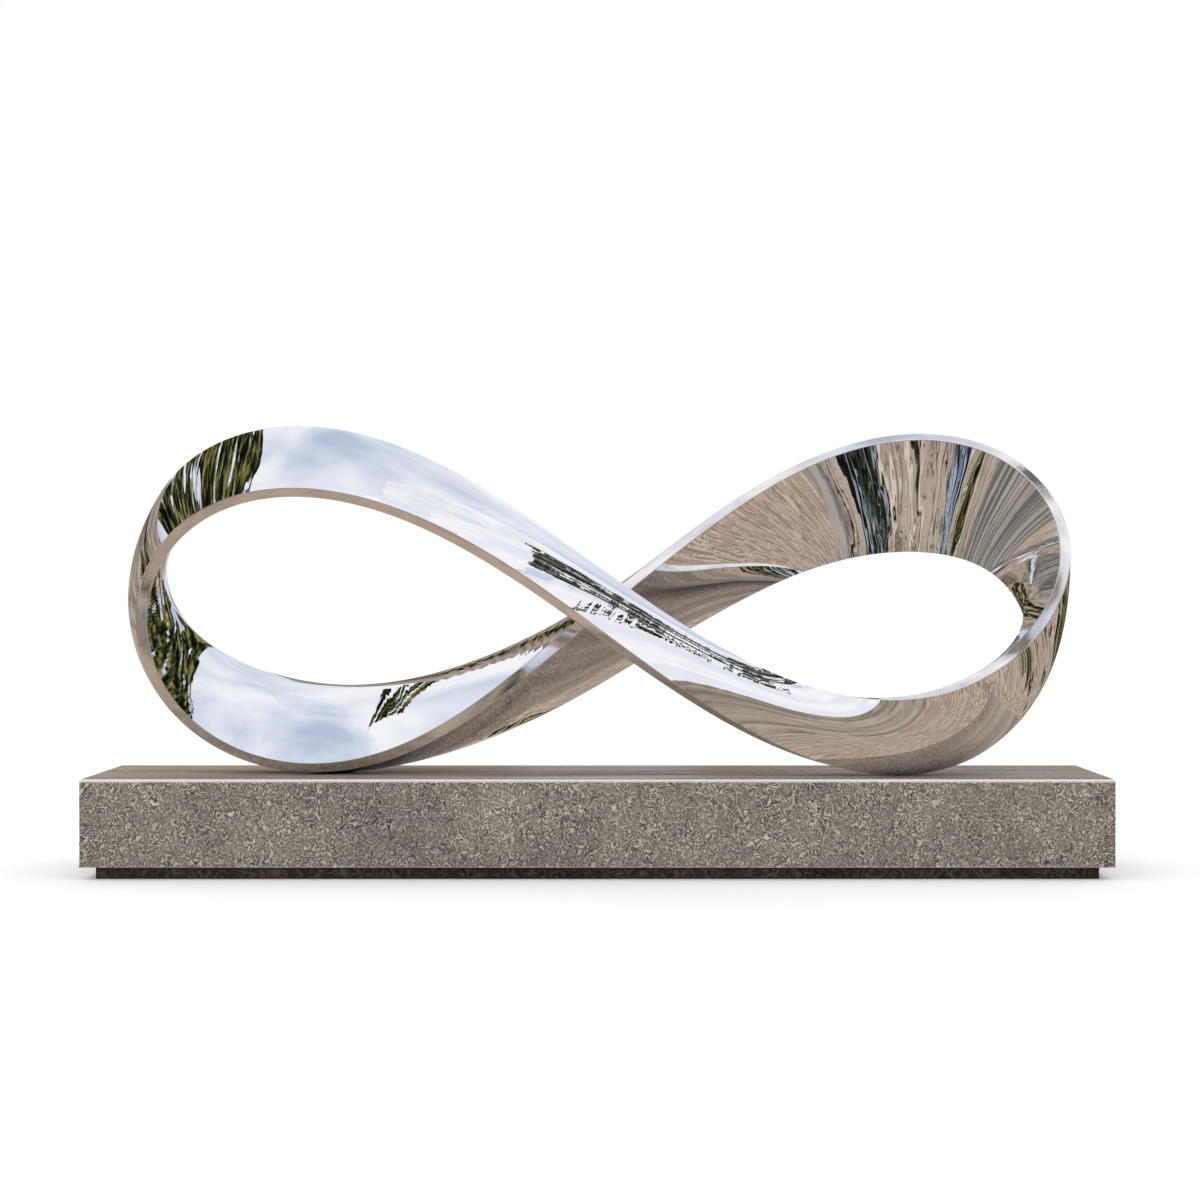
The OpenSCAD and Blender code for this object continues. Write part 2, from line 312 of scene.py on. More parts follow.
def skinTree(name, isEdge, flatShare):
    # a grid laid along the path: rows are rings, columns run across the face or round the edge
    group, t, inlet, outlet = newGroup(name, [
        ("Geometry", "NodeSocketGeometry", None), ("Columns", "NodeSocketInt", 8),
        ("Side", "NodeSocketFloat", 1.0), ("Edge Width", "NodeSocketFloat", 0.03),
        ("Arris Radius", "NodeSocketFloat", 0.003), ("Height", "NodeSocketFloat", 0.0),
        ("Slope", "NodeSocketFloat", 0.0), ("Shift", "NodeSocketFloat", 0.0),
        ("Flatness", "NodeSocketFloat", 0.0), ("Material", "NodeSocketMaterial", None)],
        [("Geometry", "NodeSocketGeometry")], "GeometryNodeTree")
    path = inlet.outputs["Geometry"]
    rings = t.add("GeometryNodeAttributeDomainSize", {0: path}).outputs["Point Count"]
    columns = t.math("ADD", inlet.outputs["Columns"], 1.0)
    grid = t.add("GeometryNodeMeshGrid", {"Size X": 1.0, "Size Y": 1.0,
                                          "Vertices X": columns, "Vertices Y": rings})
    # each point keeps its place on the flat grid, because moving it would change what it reads
    flatGrid = t.store(grid.outputs["Mesh"], "gridPlace", t.add("GeometryNodeInputPosition"), "FLOAT_VECTOR")
    place = t.add("ShaderNodeSeparateXYZ", {
        0: t.add("GeometryNodeInputNamedAttribute", {0: "gridPlace"}, data_type="FLOAT_VECTOR")})
    share = t.math("MULTIPLY", place.outputs[0], 2.0)
    along = t.math("ADD", place.outputs[1], 0.5)
    ring = t.math("ROUND", t.math("MULTIPLY", along, t.math("SUBTRACT", rings, 1.0)))

    def sampled(key, kind):
        source = t.add("GeometryNodeInputPosition") if key == "position" else \
            t.add("GeometryNodeInputNamedAttribute", {0: key}, data_type=kind)
        return t.add("GeometryNodeSampleIndex", {"Geometry": path, "Value": source, "Index": ring},
                     data_type=kind, domain="POINT").outputs[0]

    centre, across, outward = (sampled(key, "FLOAT_VECTOR") for key in ("position", "across", "outward"))
    half, crown, distance, ghost, lean, flat = (
        sampled(key, "FLOAT") for key in ("halfWidth", "crown", "distance", "ghost", "lean", "flat"))
    side, edge, radius = (inlet.outputs[key] for key in ("Side", "Edge Width", "Arris Radius"))

    # where the rounded arris meets the face
    slope = t.math("DIVIDE", t.math("MULTIPLY", crown, 2.0), half)
    steep = t.math("SQRT", t.math("MULTIPLY_ADD", slope, slope, 1.0))
    turn = t.math("ARCCOSINE", t.math("DIVIDE", slope, steep))
    tangent = t.math("MULTIPLY", radius, t.math("TANGENT", t.math("MULTIPLY", turn, 0.5)))
    if isEdge:
        size = t.math("ABSOLUTE", share)
        sign = t.math("SIGN", share)
        level = t.math("MINIMUM", t.math("DIVIDE", size, flatShare), 1.0)
        past = t.math("DIVIDE", t.math("SUBTRACT", size, flatShare), 1 - flatShare)
        arc = t.math("MULTIPLY", t.math("MAXIMUM", past, 0.0), turn)
        levelEnd = t.math("SUBTRACT", t.math("MULTIPLY", edge, 0.5), tangent)
        rise = t.math("MULTIPLY_ADD", levelEnd, level, t.math("MULTIPLY", radius, t.math("SINE", arc)))
        off = t.math("MULTIPLY", sign, rise)
        inset = t.math("MULTIPLY", radius, t.math("SUBTRACT", 1.0, t.math("COSINE", arc)))
        reach = t.math("SUBTRACT", half, inset)
        over = t.math("MULTIPLY", side, reach)
        flips = t.math("LESS_THAN", side, 0.0)
    else:
        back = t.math("DIVIDE", tangent, steep)
        over = t.math("MULTIPLY", share, t.math("SUBTRACT", half, back))
        bow = t.math("SUBTRACT", 1.0, t.math("POWER", t.math("ABSOLUTE", t.math("DIVIDE", over, half)), 2.0))
        off = t.math("MULTIPLY", side, t.math("MULTIPLY_ADD", crown, bow, t.math("MULTIPLY", edge, 0.5)))
        flips = t.math("GREATER_THAN", side, 0.0)
    spot = t.vector("ADD", centre, t.vector("ADD", t.vector("SCALE", across, scale=over),
                                            t.vector("SCALE", outward, scale=off)))
    parts = t.add("ShaderNodeSeparateXYZ", {0: spot})
    lifted = t.add("ShaderNodeCombineXYZ", {
        0: parts.outputs[0], 1: t.math("ADD", parts.outputs[1], inlet.outputs["Shift"]),
        2: t.math("ADD", parts.outputs[2], t.math("MULTIPLY_ADD", parts.outputs[0], inlet.outputs["Slope"],
                                                  inlet.outputs["Height"]))})
    surface = t.add("GeometryNodeSetPosition", {"Geometry": flatGrid, "Position": lifted})
    # the place along and across the band is kept for the polish and the linishing marks
    kept = t.add("ShaderNodeCombineXYZ", {0: distance, 1: off if isEdge else over, 2: side})
    marked = t.store(surface, "bandPlace", kept, "FLOAT_VECTOR")
    marked = t.store(marked, "ghostRing", ghost, "FLOAT")
    facing = t.add("GeometryNodeFlipFaces", {0: marked, 1: flips})
    # planished faces mirror more like flat sheet than their crown alone would, and two inner faces lean
    upright = t.math("MULTIPLY", side, t.math("COSINE", lean))
    leaning = t.vector("ADD", t.vector("SCALE", outward, scale=upright),
                       t.vector("SCALE", across, scale=t.math("SINE", lean)))
    flatness = t.math("MULTIPLY", flat, inlet.outputs["Flatness"])
    eased = t.vector("ADD", t.vector("SCALE", t.add("GeometryNodeInputNormal"),
                                     scale=t.math("SUBTRACT", 1.0, flatness)),
                     t.vector("SCALE", leaning, scale=flatness))
    smooth = t.store(facing, "smoothNormal", t.vector("NORMALIZE", eased), "FLOAT_VECTOR")
    ghosts = t.add("GeometryNodeInputNamedAttribute", {0: "ghostRing"}, data_type="FLOAT")
    surplus = t.math("GREATER_THAN", ghosts.outputs[0], 0.5)
    trimmed = t.add("GeometryNodeDeleteGeometry", {0: smooth, 1: surplus}, domain="POINT")
    real = t.add("GeometryNodeRealizeInstances", {0: trimmed})
    painted = t.add("GeometryNodeSetMaterial", {"Geometry": real, "Material": inlet.outputs["Material"]})
    t.put(outlet.inputs[0], painted)
    return group


def bakeModifiers(piece, name):
    # turns the evaluated object into a plain mesh without modifiers
    graph = bpy.context.evaluated_depsgraph_get()
    mesh = bpy.data.meshes.new_from_object(piece.evaluated_get(graph))
    mesh.name = name
    result = bpy.data.objects.new(name, mesh)
    scene.collection.objects.link(result)
    source = piece.data
    bpy.data.objects.remove(piece)
    bpy.data.meshes.remove(source)
    return result


def setInputs(modifier, group, values):
    for item in group.interface.items_tree:
        if item.item_type == "SOCKET" and item.in_out == "INPUT" and item.name in values:
            modifier[item.identifier] = values[item.name]


def shellNormals(piece, skinFaces):
    # the outer skin keeps the normals of the whole band, so a seam between lengths doesn't show
    mesh = piece.data
    for polygon in mesh.polygons:
        polygon.use_smooth = True
    stored = np.zeros(len(mesh.vertices) * 3)
    mesh.attributes["smoothNormal"].data.foreach_get("vector", stored)
    stored = stored.reshape(-1, 3)
    normals = np.zeros((len(mesh.loops), 3))
    for polygon in mesh.polygons:
        for loop in polygon.loop_indices:
            own = mesh.loops[loop].vertex_index
            normals[loop] = stored[own] if polygon.index < skinFaces else polygon.normal
    mesh.normals_split_custom_set([tuple(n) for n in normals])
    for key in ("smoothNormal", "ghostRing", "gridPlace"):
        mesh.attributes.remove(mesh.attributes[key])


def bandPiece(b, group, name, middle, side, columns, flatness, material):
    path = pathMesh(b, name + "Path", middle, side)
    skin = path.modifiers.new("skin", "NODES")
    skin.node_group = group
    setInputs(skin, group, {"Columns": columns, "Side": float(side), "Edge Width": b["edge"],
                            "Arris Radius": b["arris"], "Height": bandHeight, "Slope": bandSlope,
                            "Shift": bandShift, "Flatness": flatness, "Material": material})
    wall = path.modifiers.new("wall", "SOLIDIFY")
    wall.thickness, wall.offset = b["sheet"], -1.0
    piece = bakeModifiers(path, name)
    shellNormals(piece, columns * b["ringsPerLength"])
    return piece


polish = {"sideStep": 1.7, "broad": (1.0, 1.5, 0.4, 0.4), "fineStretch": (3.1, 1.7, 1.0),
          "fine": (1.0, 2.0, 0.5, 0.2), "smearStretch": (5.0, 9.0, 1.0), "smear": (1.0, 4.0, 0.6)}
waveGroup, w, waveIn, waveOut = newGroup("polishWaves", [
    ("Place", "NodeSocketVector", None), ("Along Scale", "NodeSocketFloat", 10.0),
    ("Across Scale", "NodeSocketFloat", 3.0), ("Fine Share", "NodeSocketFloat", 0.2)],
    [("Height", "NodeSocketFloat"), ("Smear", "NodeSocketFloat")])
stretch = w.add("ShaderNodeCombineXYZ", {
    0: waveIn.outputs["Along Scale"], 1: waveIn.outputs["Across Scale"], 2: polish["sideStep"]})
ground = w.vector("MULTIPLY", waveIn.outputs["Place"], stretch.outputs[0])
broad = w.noise(ground, *polish["broad"])
fine = w.noise(w.vector("MULTIPLY", ground, polish["fineStretch"]), *polish["fine"])
w.put(waveOut.inputs["Height"], w.math("MULTIPLY_ADD", fine, waveIn.outputs["Fine Share"], broad))
w.put(waveOut.inputs["Smear"], w.noise(w.vector("MULTIPLY", waveIn.outputs["Place"], polish["smearStretch"]),
                                       *polish["smear"]))


def steel(name, s):
    # a bare steel finish, with the place along and across the band and the parts that finishes share
    material, t, shader = newMaterial(name)
    shader.inputs["Metallic"].default_value = 1.0

    def finish(wear, height):
        t.put(shader.inputs["Base Color"], t.ramp(wear, list(zip(s["tintAt"], (s["tintLow"], s["tint"])))))
        t.put(shader.inputs["Roughness"], t.rescale(wear, *s["roughAt"], *s["roughness"]))
        t.put(shader.inputs["Normal"], t.bump(s["height"], height))
        return material

    return t, t.add("ShaderNodeAttribute", attribute_name="bandPlace").outputs["Vector"], finish


def mirrorSteel(name):
    s = {"tint": colour(250, 250, 251), "tintLow": colour(240, 241, 243), "tintAt": (0.35, 0.62),
         "roughness": (0.004, 0.016), "roughAt": (0.4, 0.75), "along": 9.0, "across": 2.2, "fine": 0.15,
         "height": 0.001}
    t, place, finish = steel(name, s)
    marks = useGroup(t, waveGroup, {"Place": place, "Along Scale": s["along"], "Across Scale": s["across"],
                                    "Fine Share": s["fine"]})
    return finish(marks.outputs["Smear"], marks.outputs["Height"])


def satinEdge(name):
    s = {"tint": colour(252, 251, 250), "tintLow": colour(226, 223, 220), "tintAt": (0.38, 0.6),
         "roughness": (0.07, 0.15), "roughAt": (0.35, 0.65), "height": 0.00004,
         "lines": (6.0, 900.0, 1.0), "lineNoise": (1.0, 3.0, 0.6), "lineShare": 0.35,
         "patches": (9.0, 24.0, 1.0), "patchNoise": (1.0, 4.0, 0.6, 0.6), "patchShare": 0.65}
    t, place, finish = steel(name, s)
    lines = t.noise(t.vector("MULTIPLY", place, s["lines"]), *s["lineNoise"])
    patches = t.noise(t.vector("MULTIPLY", place, s["patches"]), *s["patchNoise"])
    wear = t.math("MULTIPLY_ADD", lines, s["lineShare"], t.math("MULTIPLY", patches, s["patchShare"]))
    return finish(wear, lines)


mirror = mirrorSteel("mirror_steel_polish")
satin = satinEdge("satin_edge_steel")
faceTree = skinTree("bandFaceSkin", False, band["edgeFlatShare"])
edgeTree = skinTree("bandEdgeSkin", True, band["edgeFlatShare"])


def joinPieces(first, second):
    # one piece from two, with its custom normals kept
    with bpy.context.temp_override(active_object=first, selected_editable_objects=[first, second],
                                   selected_objects=[first, second], object=first):
        bpy.ops.object.join()
    return first


for lengthName, (middle, plusSheet, minusSheet) in lengths.items():
    for side, sheetName in ((1, plusSheet), (-1, minusSheet)):
        node = lengthName + "_" + sheetName
        piece = bandPiece(band, faceTree, node + "_skin", middle, side, band["strips"], 1.0, mirror)
        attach(piece, "root")
        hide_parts(node)
    node = lengthName + "_edge_strips"
    pair = [bandPiece(band, edgeTree, node + "_skin" + end, middle, side, band["edgeStrips"], 0.0, satin)
            for side, end in ((1, ""), (-1, "B"))]
    piece = joinPieces(pair[0], pair[1])
    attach(piece, "root")
    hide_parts(node)
print("band ready")


tooling = {
    "bend": 30.0, "bendReach": 0.02, "field": (0.5, 0.4, 0.25), "lines": 26.0, "lineAt": (0.3, 1.0),
    "cut": (34.0, 2.0, 0.5), "cutAt": (0.46, 0.54), "second": (3.7, 1.9, 5.3), "secondSize": 1.4,
    "calmShift": (2.3, 0.7, 4.1), "calm": (24.0, 3.0, 0.6), "calmAt": (0.38, 0.66),
    "calmShare": (0.5, 0.55), "mottle": (5.0, 5.0, 0.55, 0.3), "grain": (420.0, 2.0, 0.6),
}
stoneGroup, g, stoneIn, stoneOut = newGroup("toolingMarks", [
    ("Place", "NodeSocketVector", None), ("Scale", "NodeSocketFloat", 40.0)],
    [("RidgeAndShade", "NodeSocketFloat"), ("Mottle", "NodeSocketFloat"), ("Grain", "NodeSocketFloat")])
spot = stoneIn.outputs["Place"]
bend = g.add("ShaderNodeTexNoise", {"Vector": spot, "Scale": tooling["bend"], "Detail": 1.0})
sway = g.vector("SUBTRACT", bend.outputs["Color"], (0.5, 0.5, 0.5))
bent = g.vector("ADD", spot, g.vector("SCALE", sway, scale=tooling["bendReach"]))
cut = g.window(g.noise(spot, *tooling["cut"]), *tooling["cutAt"])


def wormLines(shift, size, share):
    # thin light crests beside dark grooves, side by side along the level lines of a noise; in the colour
    # they are painted highlight on the crests and painted shade in the grooves, and the same value bumps the
    # surface
    field = g.noise(g.vector("ADD", bent, shift), g.math("MULTIPLY", stoneIn.outputs["Scale"], size),
                    *tooling["field"])
    swing = g.math("SINE", g.math("MULTIPLY", field, tooling["lines"]))
    start, full = tooling["lineAt"]
    lines = g.math("SUBTRACT", g.window(swing, start, full), g.window(swing, -start, -full))
    return g.math("MULTIPLY", lines, share)


mixed = g.math("ADD", wormLines((0, 0, 0), 1.0, cut),
               wormLines(tooling["second"], tooling["secondSize"], g.math("SUBTRACT", 1.0, cut)))
calm = g.window(g.noise(g.vector("ADD", spot, tooling["calmShift"]), *tooling["calm"]), *tooling["calmAt"])
depth = g.math("MULTIPLY_ADD", calm, *tooling["calmShare"])
g.put(stoneOut.inputs["RidgeAndShade"], g.math("MULTIPLY", mixed, depth))
g.put(stoneOut.inputs["Mottle"], g.noise(spot, *tooling["mottle"]))
g.put(stoneOut.inputs["Grain"], g.noise(spot, *tooling["grain"]))


def stoneMaterial(name, s):
    material, t, shader = newMaterial(name)
    place = t.add("ShaderNodeTexCoord").outputs["Object"]
    marks = useGroup(t, stoneGroup, {"Place": place, "Scale": s["scale"]})
    ridgeAndShade, mottle, grain = (marks.outputs[key] for key in ("RidgeAndShade", "Mottle", "Grain"))
    rough = t.add("ShaderNodeAttribute", attribute_name="roughShare").outputs["Fac"]
    speck = t.math("MULTIPLY_ADD", t.math("SUBTRACT", grain, 0.5), s["grain"], 0.5)
    tone = t.math("MULTIPLY_ADD", t.math("SUBTRACT", mottle, 0.5), s["mottle"],
                  t.math("MULTIPLY_ADD", ridgeAndShade, s["ridgeAndShade"], speck))
    # tooled faces: stone tone with painted highlight on the ridge crests and painted shade in the grooves
    broken = t.ramp(tone, [(0.0, s["dark"]), (0.5, s["middle"]), (1.0, s["light"])])
    veins = t.noise(t.vector("MULTIPLY", place, s["veins"]), *s["veinNoise"])
    honed = t.ramp(veins, list(zip(s["honedAt"], (s["honedDark"], s["honedMiddle"], s["honedLight"]))))
    for seat in bandSeats:
        # painted shadow: the stone's colour is darker where the band shades it
        away = t.vector("LENGTH", t.vector("DIVIDE", t.vector("SUBTRACT", place, seat), s["shadeReach"]))
        honed = t.mix(t.math("MULTIPLY", t.window(away, 1.0, 0.0), s["shade"]), honed, s["dark"])
    # painted highlight: the top arris is painted in a lighter colour, as a lit edge
    arris = t.add("ShaderNodeAttribute", attribute_name="arrisHighlight").outputs["Fac"]
    tooled = t.math("MULTIPLY_ADD", rough, 1 - s["topTooling"], s["topTooling"])
    t.put(shader.inputs["Base Color"], t.mix(arris, t.mix(tooled, honed, broken), s["arris"]))
    t.put(shader.inputs["Roughness"], t.math("MULTIPLY_ADD", rough, s["roughness"] - s["honedRoughness"],
                                             s["honedRoughness"]))
    t.put(shader.inputs["Specular IOR Level"], t.rescale(veins, *s["glossAt"], 0.0, s["gloss"]))
    height = t.math("MULTIPLY", rough, t.math("MULTIPLY_ADD", grain, s["grainRelief"], ridgeAndShade))
    t.put(shader.inputs["Normal"], t.bump(s["height"], height))
    return material


bothStones = {"veinNoise": (1.0, 2.0, 0.5, 0.3), "honedAt": (0.38, 0.48, 0.6), "glossAt": (0.42, 0.6),
              "grainRelief": 0.25, "roughness": 0.85, "height": 0.0008}
plinthStone = stoneMaterial("plinth_tooled_stone", {
    **bothStones, "scale": 62.0, "mottle": 0.45, "ridgeAndShade": 0.41, "grain": 0.35,
    "dark": colour(64, 57, 52), "middle": colour(129, 121, 113), "light": colour(204, 197, 187),
    "veins": (0.7, 15.0, 9.0), "honedDark": colour(166, 149, 133), "honedMiddle": colour(192, 174, 156),
    "honedLight": colour(216, 201, 186), "topTooling": 0.55, "shade": 0.9,
    "shadeReach": (0.42, 0.2, 0.1), "arris": colour(244, 240, 235), "gloss": 0.05,
    "honedRoughness": 0.25})
baseStoneMaterial = stoneMaterial("base_dark_stone", {
    **bothStones, "scale": 24.0, "mottle": 1.0, "ridgeAndShade": 0.3, "grain": 0.3,
    "dark": colour(30, 27, 23), "middle": colour(66, 60, 52), "light": colour(112, 103, 92),
    "veins": (2.0, 9.0, 9.0), "honedDark": colour(40, 37, 33), "honedMiddle": colour(50, 46, 41),
    "honedLight": colour(58, 54, 48), "topTooling": 0.0, "shade": 0.0,
    "shadeReach": (1.0, 1.0, 1.0), "arris": colour(70, 65, 58), "gloss": 0.1,
    "honedRoughness": 0.6})

plinth = {"node": "plinth_block", "cell": 0.0052, "bevel": 0.006, "topRise": 0.0003,
          "relief": 0.0022, "marks": 62.0}
base = {"node": "base_stone", "cell": 0.0085, "bevel": 0.0015, "topRise": 0.0,
        "relief": 0.0016, "marks": 62.0}
relief = {"broad": (11.0, 3.0, 0.5), "broadShare": 0.5, "marks": (2.0, 0.5, 1.0), "marksShare": 0.75,
          "footShare": 0.35, "topArrisHighlight": 0.5, "bevelSteps": ((0.45, 0.72), (1.0, 1.0))}


def roughTree():
    # pushes the tooled faces in by noise; the honed top and the arrises stay
    group, t, inlet, outlet = newGroup("tooledFaces", [
        ("Geometry", "NodeSocketGeometry", None), ("Relief", "NodeSocketFloat", 0.002),
        ("Scale", "NodeSocketFloat", 60.0), ("Material", "NodeSocketMaterial", None)],
        [("Geometry", "NodeSocketGeometry")], "GeometryNodeTree")
    place = t.add("GeometryNodeInputPosition")
    share = t.add("GeometryNodeInputNamedAttribute", {0: "roughShare"}, data_type="FLOAT")
    inward = t.add("GeometryNodeInputNamedAttribute", {0: "inward"}, data_type="FLOAT_VECTOR")
    broad = t.math("MULTIPLY", t.noise(place, *relief["broad"]), relief["broadShare"])
    marks = t.noise(place, inlet.outputs["Scale"], *relief["marks"])
    deep = t.math("MULTIPLY", t.math("MULTIPLY_ADD", marks, relief["marksShare"], broad),
                  t.math("MULTIPLY", share.outputs[0], inlet.outputs["Relief"]))
    moved = t.add("GeometryNodeSetPosition", {"Geometry": inlet.outputs["Geometry"],
                                              "Offset": t.vector("SCALE", inward.outputs[0], scale=deep)})
    real = t.add("GeometryNodeRealizeInstances", {0: moved})
    t.put(outlet.inputs[0], t.add("GeometryNodeSetMaterial", {"Geometry": real,
                                                              "Material": inlet.outputs["Material"]}))
    return group


tooledFaces = roughTree()


def stoneBlock(s, name, material):
    low, high = (np.array(corner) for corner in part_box(s["node"]))
    bevel, cell = s["bevel"], s["cell"]
    across, deep = high[0] - low[0], high[1] - low[1]
    countX, countY = round(across / cell), round(deep / cell)
    xs, ys = np.linspace(low[0], high[0], countX + 1), np.linspace(low[1], high[1], countY + 1)
    ring = [(x, low[1], 0, 1) for x in xs[:-1]] + [(high[0], y, -1, 0) for y in ys[:-1]] \
        + [(x, high[1], 0, -1) for x in xs[:0:-1]] + [(low[0], y, 1, 0) for y in ys[:0:-1]]
    ring = np.array(ring)
    corners = np.isin(ring[:, 0], (low[0], high[0])) & np.isin(ring[:, 1], (low[1], high[1]))
    inward = ring[:, 2:4].copy()
    signs = np.sign(np.array([(low[0] + high[0]) / 2, (low[1] + high[1]) / 2]) - ring[:, :2])
    inward[corners] = signs[corners]
    wallTop = high[2] - bevel
    rows = round((wallTop - low[2]) / cell)
    heights = np.linspace(low[2], wallTop, rows + 1)
    vertices, share, push, arris = [], [], [], []
    for index, z in enumerate(heights):
        edge = min(index, rows - index)
        for place, direction in zip(ring, inward):
            vertices.append((place[0], place[1], z))
            share.append(relief["footShare"] if edge == 0 else 1.0)
            push.append((direction[0], direction[1], 0.0))
            arris.append(relief["topArrisHighlight"] if index == rows else 0.0)
    # the first bevel step carries the full painted highlight of the top arris
    for step, (drop, rise) in enumerate(relief["bevelSteps"]):
        for place in ring:
            x = min(max(place[0], low[0] + drop * bevel), high[0] - drop * bevel)
            y = min(max(place[1], low[1] + drop * bevel), high[1] - drop * bevel)
            vertices.append((x, y, wallTop + rise * (bevel + s["topRise"])))
            share.append(0.0)
            push.append((0.0, 0.0, 0.0))
            arris.append(0.0 if step else 1.0)
    count = len(ring)
    levels = len(vertices) // count
    faces = []
    for start in range(0, (levels - 1) * count, count):
        for i in range(count):
            after = (i + 1) % count
            faces.append((start + i, start + after, start + count + after, start + count + i))
    faces.append([(levels - 1) * count + i for i in range(count)])
    faces.append([i for i in range(count - 1, -1, -1)])
    mesh = bpy.data.meshes.new(name)
    mesh.from_pydata(vertices, [], faces)
    mesh.attributes.new("roughShare", "FLOAT", "POINT").data.foreach_set("value", np.array(share))
    mesh.attributes.new("arrisHighlight", "FLOAT", "POINT").data.foreach_set("value", np.array(arris))
    mesh.attributes.new("inward", "FLOAT_VECTOR", "POINT").data.foreach_set("vector", np.array(push).ravel())
    block = bpy.data.objects.new(name + "Blank", mesh)
    scene.collection.objects.link(block)
    carving = block.modifiers.new("tooling", "NODES")
    carving.node_group = tooledFaces
    setInputs(carving, tooledFaces, {"Relief": s["relief"], "Scale": s["marks"], "Material": material})
    piece = bakeModifiers(block, name)
    piece.data.attributes.remove(piece.data.attributes["inward"])
    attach(piece, "root")
    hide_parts(s["node"])
    return piece


stoneBlock(plinth, "plinth_block_stone", plinthStone)
stoneBlock(base, "base_stone_dark", baseStoneMaterial)
print("stone ready")


hiddenClouds = {"noise": (4.0, 0.6), "at": (0.35, 0.65), "spread": 0.2}


def plainFinish(name, s, clouds):
    # for hidden pieces, which keep their CAD shapes
    material, t, shader = newMaterial(name)
    place = t.add("ShaderNodeTexCoord").outputs["Object"]
    cloud = t.noise(t.vector("MULTIPLY", place, s["stretch"]), s["scale"], *clouds["noise"])
    t.put(shader.inputs["Base Color"], t.ramp(cloud, list(zip(clouds["at"], (s["dark"], s["light"])))))
    t.put(shader.inputs["Roughness"], t.math("MULTIPLY_ADD", cloud, clouds["spread"],
                                             s["roughness"] - clouds["spread"] / 2))
    t.put(shader.inputs["Normal"], t.bump(s["height"], cloud))
    shader.inputs["Metallic"].default_value = s["metallic"]
    return material


hiddenFinishes = {
    "mill_steel": plainFinish("mill_finish_steel", {
        "dark": colour(128, 129, 133), "light": colour(176, 177, 181), "roughness": 0.42, "metallic": 1.0,
        "stretch": (1.0, 1.0, 6.0), "scale": 60.0, "height": 0.0001}, hiddenClouds),
    "rubber": plainFinish("bedding_rubber", {
        "dark": colour(24, 24, 25), "light": colour(40, 40, 41), "roughness": 0.8, "metallic": 0.0,
        "stretch": (1.0, 1.0, 1.0), "scale": 300.0, "height": 0.0002}, hiddenClouds),
    "grout": plainFinish("grout_fill", {
        "dark": colour(140, 137, 130), "light": colour(186, 183, 176), "roughness": 0.9, "metallic": 0.0,
        "stretch": (1.0, 1.0, 1.0), "scale": 220.0, "height": 0.0005}, hiddenClouds),
}
keptNodes = {"bedding_pads": "rubber", "grout_plugs": "grout", "dowels": "mill_steel",
             "spigots": "mill_steel", "spigot_sleeves": "mill_steel"}
keptNodes.update({name + "_ribs": "mill_steel" for name in lengths})
for node, finish in keptNodes.items():
    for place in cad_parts[node].material_slots:
        place.material = hiddenFinishes[finish]
print("hidden pieces ready")


studio = {
    "floorSize": 60.0,
    "floorTone": colour(250, 250, 250),
    "floorLift": (0.1, 0.1, 0.1, 1.0),
    "floorRoughness": 0.9,
    "worldStrength": 1.0,
    "surroundRadius": 45.0,
    "lamps": {"keyLight": {"place": (-4.0, -6.0, 7.0), "size": 5.0, "power": 45.0},
              "fillLight": {"place": (5.0, -4.0, 5.0), "size": 5.0, "power": 15.0}},
    "lampTarget": (0, 0, 0.4),
}


def makeFloor(s):
    mesh = bpy.data.meshes.new("studioFloor")
    half = s["floorSize"]
    corners = [(-half, -half, 0), (half, -half, 0), (half, half, 0), (-half, half, 0)]
    mesh.from_pydata(corners, [], [(0, 1, 2, 3)])
    floor = bpy.data.objects.new("studioFloor", mesh)
    scene.collection.objects.link(floor)
    material, t, shader = newMaterial("studio_floor")
    shader.inputs["Base Color"].default_value = s["floorTone"]
    shader.inputs["Roughness"].default_value = s["floorRoughness"]
    shader.inputs["Specular IOR Level"].default_value = 0.0
    t.put(shader.inputs["Emission Color"], t.mix(t.directRays(), (0, 0, 0, 1), s["floorLift"]))
    shader.inputs["Emission Strength"].default_value = 1.0
    mesh.materials.append(material)
    floor.visible_glossy = False


def makeWorld(s):
    world = bpy.data.worlds.new("studioWorld")
    scene.world = world
    world.use_nodes = True
    world.node_tree.nodes.clear()
    t = Tree(world.node_tree)
    strength = t.rescale(t.directRays(), 0.0, 1.0, s["worldStrength"], 1.0)
    light = t.add("ShaderNodeBackground", {"Color": (1, 1, 1, 1), "Strength": strength})
    t.add("ShaderNodeOutputWorld", {0: light})


def areaLight(name, s, target):
    data = bpy.data.lights.new(name, "AREA")
    data.shape, data.size, data.energy = "SQUARE", s["size"], s["power"]
    lamp = bpy.data.objects.new(name, data)
    scene.collection.objects.link(lamp)
    lamp.location = s["place"]
    lamp.rotation_euler = (Vector(target) - Vector(s["place"])).to_track_quat("-Z", "Y").to_euler()
    lamp.visible_glossy = False


makeFloor(studio)
makeWorld(studio)
for name, lampSettings in studio["lamps"].items():
    areaLight(name, lampSettings, studio["lampTarget"])


